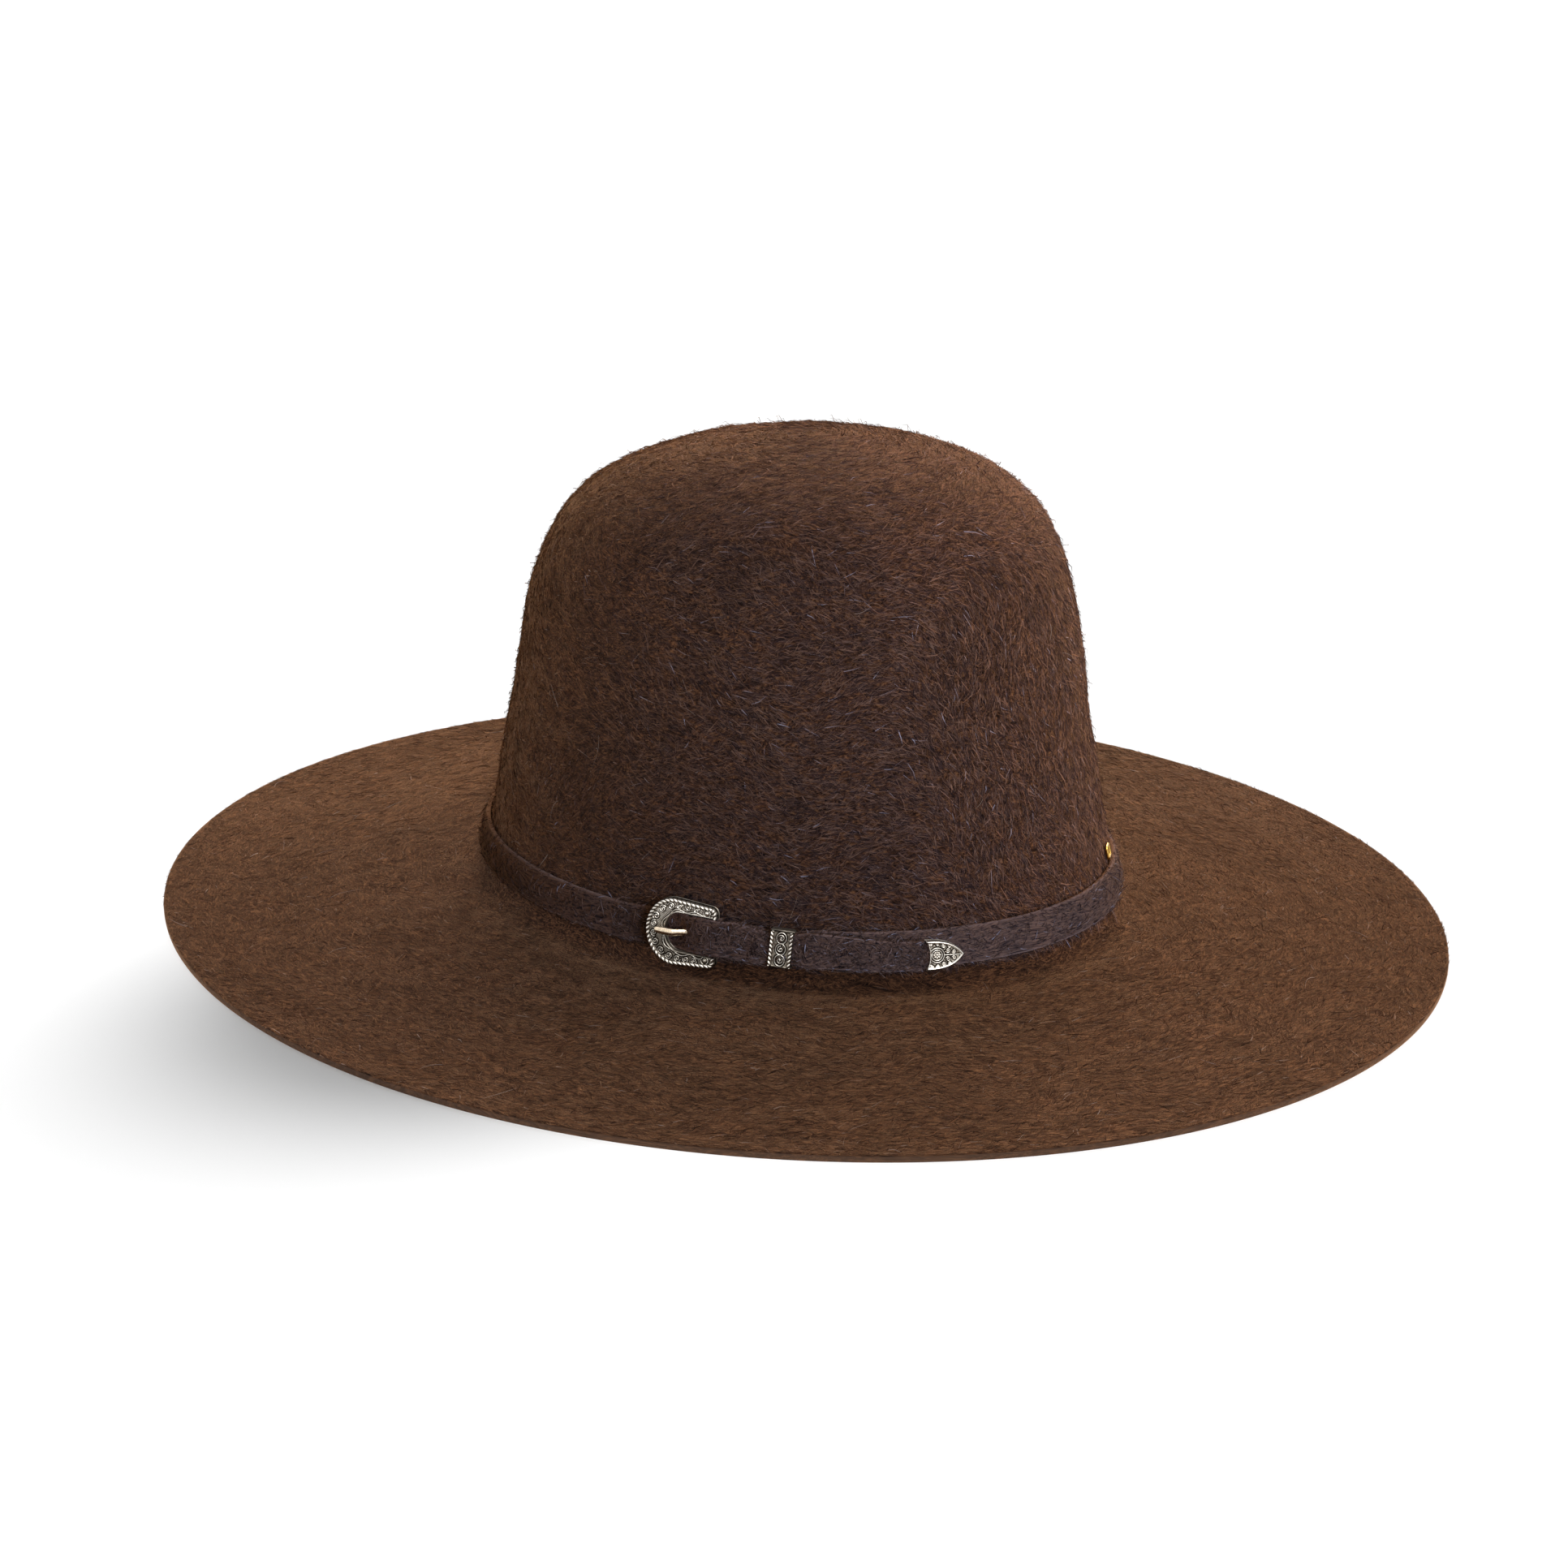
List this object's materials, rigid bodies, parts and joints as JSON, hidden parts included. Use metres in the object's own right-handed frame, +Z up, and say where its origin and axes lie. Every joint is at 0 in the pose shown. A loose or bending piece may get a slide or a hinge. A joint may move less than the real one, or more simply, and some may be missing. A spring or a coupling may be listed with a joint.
{
  "type": "open-crown felt hat",
  "caption": "Wide-brimmed felt hat with a tall rounded uncreased crown, a slim felt strap hatband with metal buckle, keeper and pointed tip, and a tiny side pin",
  "frame": {"origin": "middle of the brim's box on the surface it rests on, under the middle of the head opening", "axes": "+Z up through the crown; +Y towards the back of the hat along the long axis of the oval; +X towards the wearer's left, where the buckle is"},
  "size_m": [0.367, 0.402, 0.144],
  "materials": {
    "body_felt": "dark brown long-haired fur felt, matt, with fine swirled fibres and a raw cut brim edge",
    "strap_felt": "dark brown felt strap, matt, a little smoother than the body",
    "antique_silver": "antiqued silver-coloured cast metal, polished relief with dark recesses",
    "tongue_brass": "pale polished brass",
    "pin_gold": "polished gold-coloured metal"
  },
  "bodies": {
    "root": {"hat_body": "body_felt", "band_strap": "strap_felt", "buckle_frame": "antique_silver", "buckle_tongue": "tongue_brass", "buckle_keeper": "antique_silver", "strap_tip": "antique_silver", "side_pin": "pin_gold"}
  },
  "joints": []
}
